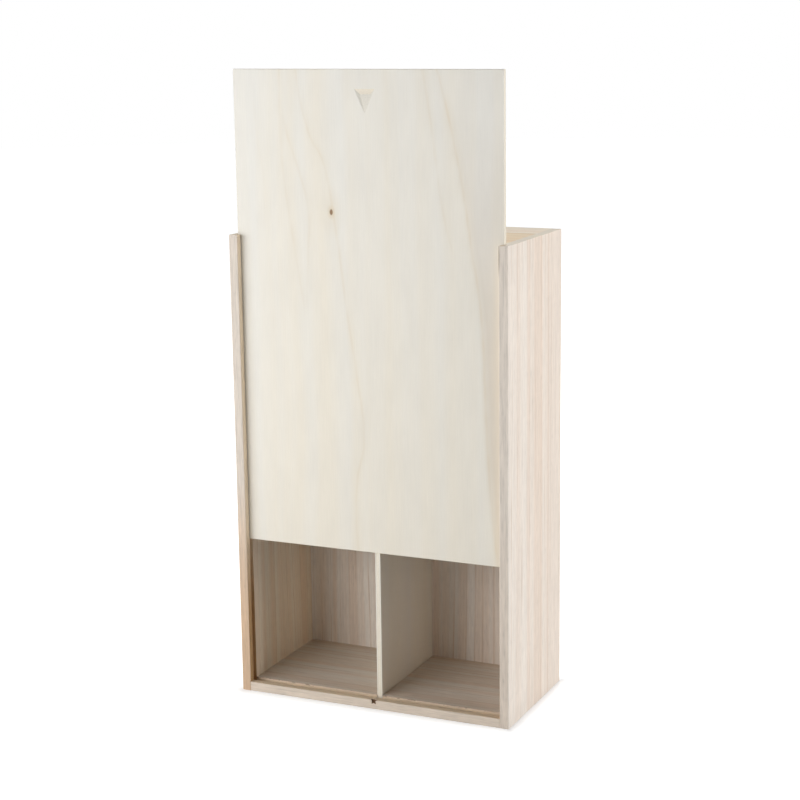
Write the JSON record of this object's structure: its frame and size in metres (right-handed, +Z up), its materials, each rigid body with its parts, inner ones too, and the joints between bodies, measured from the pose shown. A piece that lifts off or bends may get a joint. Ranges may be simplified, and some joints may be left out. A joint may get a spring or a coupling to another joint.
{
  "type": "wine box",
  "caption": "Upright wooden wine box with two bays, a divider and a thin plywood front lid with a thumb notch that slides up out of its grooves.",
  "frame": {"origin": "middle of the footprint, on the surface the box stands on", "axes": "+Z up along the boards and the lid's travel, -Y out of the front where the lid is, +X to the right seen from the front"},
  "size_m": [0.218, 0.11, 0.4693],
  "materials": {
    "board_wood": "bare, fine sanded light board wood with straight grain",
    "plywood": "bare, smooth pale three-ply with cream face veneer"
  },
  "bodies": {
    "box": {"left_side": "board_wood", "right_side": "board_wood", "bottom_board": "board_wood", "top_board": "board_wood", "back_panel": "board_wood", "divider": "plywood"},
    "slider": {"lid": "plywood"}
  },
  "joints": [
    {"name": "lid_slide", "type": "slide", "parent": "box", "child": "slider", "axis": [0, 0, 1], "range_m": [-0.115, 0.231]}
  ]
}
